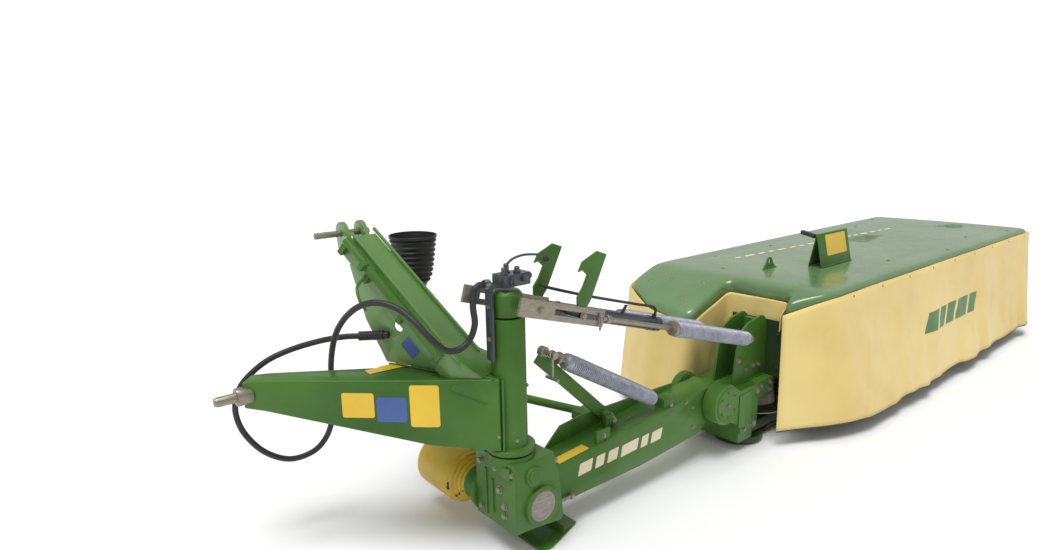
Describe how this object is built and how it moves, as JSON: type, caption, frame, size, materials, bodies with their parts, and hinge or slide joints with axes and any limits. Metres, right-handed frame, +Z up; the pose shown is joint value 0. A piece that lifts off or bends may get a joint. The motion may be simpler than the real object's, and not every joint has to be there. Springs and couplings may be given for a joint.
{
  "type": "disc mower",
  "caption": "Rear-mounted side-pull disc mower: headstock, swivelling boom, folding deck with a row of cutting discs under a hood with fabric curtains.",
  "frame": {"origin": "on the parking foot's sole, at ground level under the rear end of the boom's hinge pipe", "axes": "+X out along the mowing deck, +Y forward to the tractor, +Z up"},
  "size_m": [5.51, 1.218, 1.2597],
  "materials": {
    "green_paint": "satin green paint",
    "dark_green_paint": "worn dark green paint",
    "cream_fabric": "coated cream fabric",
    "yellow_plastic": "glossy ochre plastic",
    "zinc": "zinc plated",
    "spring_steel": "grey coated spring wire",
    "black_rubber": "black rubber and plastic",
    "cylinder_paint": "blue-black paint",
    "steel": "bare steel"
  },
  "bodies": {
    "headstock": {"hitch_beam_left": "green_paint", "hitch_beam_right": "green_paint", "post": "green_paint", "hitch_pin_left": "zinc", "hitch_pin_right": "zinc", "top_link_beam": "green_paint", "top_link_pin": "zinc", "coupling_panel": "green_paint", "drive_shaft": "black_rubber", "shaft_holder": "green_paint", "valve_block": "cylinder_paint", "hydraulic_hose": "black_rubber", "hose_coupler": "black_rubber"},
    "pivot_block": {"pivot_block": "green_paint", "hinge_pipe": "steel", "swivel_pin": "green_paint", "drive_housing": "green_paint", "shaft_guard": "yellow_plastic"},
    "parking_foot": {"parking_foot": "green_paint"},
    "boom": {"boom_arm": "green_paint", "boom_side_plate": "green_paint", "breakaway_strut": "green_paint", "stop_link": "green_paint", "relief_spring": "spring_steel", "spring_adjuster": "zinc"},
    "lift_cylinder": {"lift_cylinder": "cylinder_paint", "lift_strap_near": "zinc", "lift_strap_far": "zinc", "catch_hook_near": "green_paint", "catch_hook_far": "green_paint"},
    "lift_rod": {"lift_rod": "steel", "lift_spring_near": "spring_steel", "lift_spring_far": "spring_steel"},
    "deck": {"gear_housing": "green_paint", "deck_pin": "steel", "lift_bracket": "green_paint", "bevel_gearbox": "green_paint", "cutterbar": "dark_green_paint", "inner_skid": "dark_green_paint", "hood": "green_paint", "hood_handle": "green_paint", "handle_grip": "black_rubber", "lifting_lug": "green_paint", "curtain_rear": "cream_fabric", "curtain_outer": "cream_fabric", "curtain_front": "cream_fabric", "curtain_inner": "cream_fabric"},
    "disc_1": {"cutting_disc_1": "steel"},
    "disc_2": {"cutting_disc_2": "steel"},
    "disc_3": {"cutting_disc_3": "steel"},
    "disc_4": {"cutting_disc_4": "steel"},
    "disc_5": {"cutting_disc_5": "steel"},
    "disc_6": {"cutting_disc_6": "steel"},
    "disc_7": {"cutting_disc_7": "steel"}
  },
  "joints": [
    {"name": "swivel", "type": "hinge", "parent": "headstock", "child": "pivot_block", "pos_m": [-0.06, 0.1, 0.42], "axis": [0, 0, 1], "range_deg": [-30, 0]},
    {"name": "foot_slide", "type": "slide", "parent": "pivot_block", "child": "parking_foot", "axis": [0, 0, 1], "range_m": [0, 0.07]},
    {"name": "boom_lift", "type": "hinge", "parent": "pivot_block", "child": "boom", "pos_m": [0, 0.12, 0.2], "axis": [0, -1, 0], "range_deg": [-6, 5]},
    {"name": "deck_fold", "type": "hinge", "parent": "boom", "child": "deck", "pos_m": [1.148, 0.12, 0.287], "axis": [0, -1, 0], "range_deg": [-15, 90]},
    {"name": "cylinder_swing", "type": "hinge", "parent": "boom", "child": "lift_cylinder", "pos_m": [-0.05, 0.09, 0.98], "axis": [0, -1, 0], "range_deg": [-12.5, 3]},
    {"name": "rod_slide", "type": "slide", "parent": "lift_cylinder", "child": "lift_rod", "axis": [0.9589, 0, -0.2836], "range_m": [-0.43, 0.08]},
    {"name": "disc_1_spin", "type": "hinge", "parent": "deck", "child": "disc_1", "pos_m": [1.65, 0.15, 0.1], "axis": [0, 0, 1], "continuous": true},
    {"name": "disc_2_spin", "type": "hinge", "parent": "deck", "child": "disc_2", "pos_m": [2.08, 0.15, 0.1], "axis": [0, 0, 1], "continuous": true},
    {"name": "disc_3_spin", "type": "hinge", "parent": "deck", "child": "disc_3", "pos_m": [2.51, 0.15, 0.1], "axis": [0, 0, 1], "continuous": true},
    {"name": "disc_4_spin", "type": "hinge", "parent": "deck", "child": "disc_4", "pos_m": [2.94, 0.15, 0.1], "axis": [0, 0, 1], "continuous": true},
    {"name": "disc_5_spin", "type": "hinge", "parent": "deck", "child": "disc_5", "pos_m": [3.37, 0.15, 0.1], "axis": [0, 0, 1], "continuous": true},
    {"name": "disc_6_spin", "type": "hinge", "parent": "deck", "child": "disc_6", "pos_m": [3.8, 0.15, 0.1], "axis": [0, 0, 1], "continuous": true},
    {"name": "disc_7_spin", "type": "hinge", "parent": "deck", "child": "disc_7", "pos_m": [4.23, 0.15, 0.1], "axis": [0, 0, 1], "continuous": true}
  ],
  "couplings": [
    {"joint": "cylinder_swing", "follows": "deck_fold", "ratio": -0.131},
    {"joint": "rod_slide", "follows": "deck_fold", "m_per_rad": -0.267},
    {"joint": "disc_2_spin", "follows": "disc_1_spin", "ratio": -1},
    {"joint": "disc_3_spin", "follows": "disc_1_spin", "ratio": 1},
    {"joint": "disc_4_spin", "follows": "disc_1_spin", "ratio": -1},
    {"joint": "disc_5_spin", "follows": "disc_1_spin", "ratio": 1},
    {"joint": "disc_6_spin", "follows": "disc_1_spin", "ratio": -1},
    {"joint": "disc_7_spin", "follows": "disc_1_spin", "ratio": 1}
  ]
}
